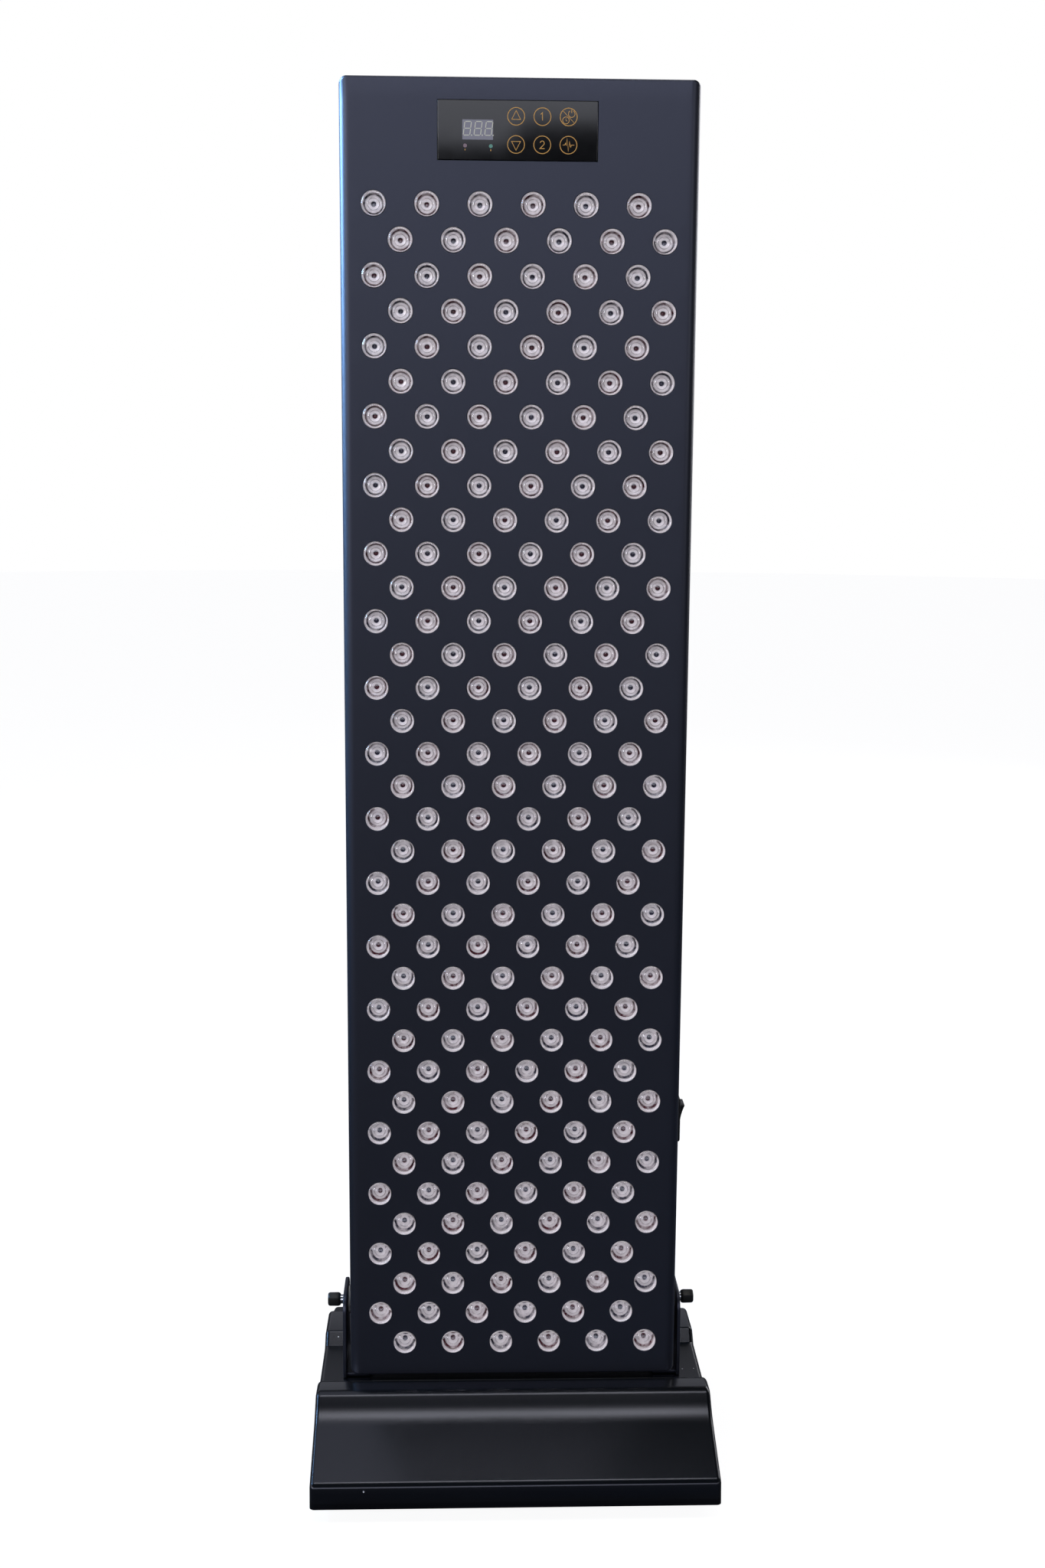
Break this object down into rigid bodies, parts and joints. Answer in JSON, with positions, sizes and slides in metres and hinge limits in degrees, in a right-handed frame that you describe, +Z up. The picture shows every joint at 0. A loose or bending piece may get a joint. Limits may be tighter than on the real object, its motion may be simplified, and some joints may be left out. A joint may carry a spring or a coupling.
{
  "type": "red light therapy panel",
  "caption": "Tall light therapy panel with staggered rows of domed lenses and a touch pane, which tilts between side ears on a wide, low base.",
  "frame": {"origin": "centre of the feet's footprint, on the surface the base stands on", "axes": "+X to the right as the user faces the lenses, +Y away from the user, +Z up; the lenses face -Y"},
  "size_m": [0.252, 0.25, 0.8556],
  "materials": {
    "case_paint": "matt black powder coat with a blue cast",
    "base_paint": "satin black powder coat",
    "lens_plastic": "clear moulded lens plastic",
    "lamp_board": "white solder mask on a metal-core board",
    "control_board": "green circuit board",
    "aluminium": "bare extruded",
    "control_pane": "glossy black pane",
    "display": "grey filter over pale segments",
    "black_plastic": "moulded black plastic",
    "plated_steel": "zinc plated",
    "rubber": "matt black rubber",
    "nylon": "white nylon"
  },
  "bodies": {
    "base": {"base_shell": "base_paint", "base_floor_plate": "plated_steel", "ear_left": "case_paint", "ear_right": "case_paint", "friction_washer_left": "nylon", "friction_washer_right": "nylon", "bracket_screw_1": "plated_steel", "bracket_screw_2": "plated_steel", "bracket_screw_3": "plated_steel", "bracket_screw_4": "plated_steel", "rubber_foot_1": "rubber", "rubber_foot_2": "rubber", "rubber_foot_3": "rubber", "rubber_foot_4": "rubber"},
    "panel": {"front_cover": "case_paint", "back_cover": "case_paint", "heat_sink": "aluminium", "led_board_1": "lamp_board", "led_board_2": "lamp_board", "led_board_3": "lamp_board", "led_board_4": "lamp_board", "led_board_5": "lamp_board", "led_board_6": "lamp_board", "lens_tray_1": "lens_plastic", "lens_tray_2": "lens_plastic", "lens_tray_3": "lens_plastic", "lens_tray_4": "lens_plastic", "lens_tray_5": "lens_plastic", "lens_tray_6": "lens_plastic", "control_pane": "control_pane", "display_module": "display", "control_board": "control_board", "led_driver_1": "aluminium", "led_driver_2": "aluminium", "power_inlet": "black_plastic", "switch_housing": "black_plastic", "fan_frame_1": "black_plastic", "fan_frame_2": "black_plastic", "fan_frame_3": "black_plastic", "fan_frame_4": "black_plastic", "back_cover_screw_1": "plated_steel", "back_cover_screw_2": "plated_steel", "back_cover_screw_3": "plated_steel", "back_cover_screw_4": "plated_steel", "back_cover_screw_5": "plated_steel", "back_cover_screw_6": "plated_steel", "back_cover_screw_7": "plated_steel", "back_cover_screw_8": "plated_steel", "threaded_insert_left": "plated_steel", "threaded_insert_right": "plated_steel"},
    "rocker": {"switch_rocker": "black_plastic"},
    "bolt_left": {"pivot_bolt_left": "black_plastic"},
    "bolt_right": {"pivot_bolt_right": "black_plastic"},
    "fan_1": {"fan_rotor_1": "black_plastic"},
    "fan_2": {"fan_rotor_2": "black_plastic"},
    "fan_3": {"fan_rotor_3": "black_plastic"},
    "fan_4": {"fan_rotor_4": "black_plastic"}
  },
  "joints": [
    {"name": "panel_tilt", "type": "hinge", "parent": "base", "child": "panel", "pos_m": [0, 0, 0.0866], "axis": [1, 0, 0], "range_deg": [-15, 5]},
    {"name": "bolt_left_turn", "type": "hinge", "parent": "panel", "child": "bolt_left", "pos_m": [-0.1108, 0, 0.0866], "axis": [-1, 0, 0], "range_deg": [0, 360]},
    {"name": "bolt_right_turn", "type": "hinge", "parent": "panel", "child": "bolt_right", "pos_m": [0.1108, 0, 0.0866], "axis": [1, 0, 0], "range_deg": [0, 360]},
    {"name": "power_rocker", "type": "hinge", "parent": "panel", "child": "rocker", "pos_m": [0.1015, -0.018, 0.22], "axis": [0, 1, 0], "range_deg": [-16, 0]},
    {"name": "fan_1_spin", "type": "hinge", "parent": "panel", "child": "fan_1", "pos_m": [0, 0.0032, 0.16187], "axis": [0, 1, 0], "continuous": true},
    {"name": "fan_2_spin", "type": "hinge", "parent": "panel", "child": "fan_2", "pos_m": [0, 0.0032, 0.30222], "axis": [0, 1, 0], "continuous": true},
    {"name": "fan_3_spin", "type": "hinge", "parent": "panel", "child": "fan_3", "pos_m": [0, 0.0032, 0.58292], "axis": [0, 1, 0], "continuous": true},
    {"name": "fan_4_spin", "type": "hinge", "parent": "panel", "child": "fan_4", "pos_m": [0, 0.0032, 0.72327], "axis": [0, 1, 0], "continuous": true}
  ]
}
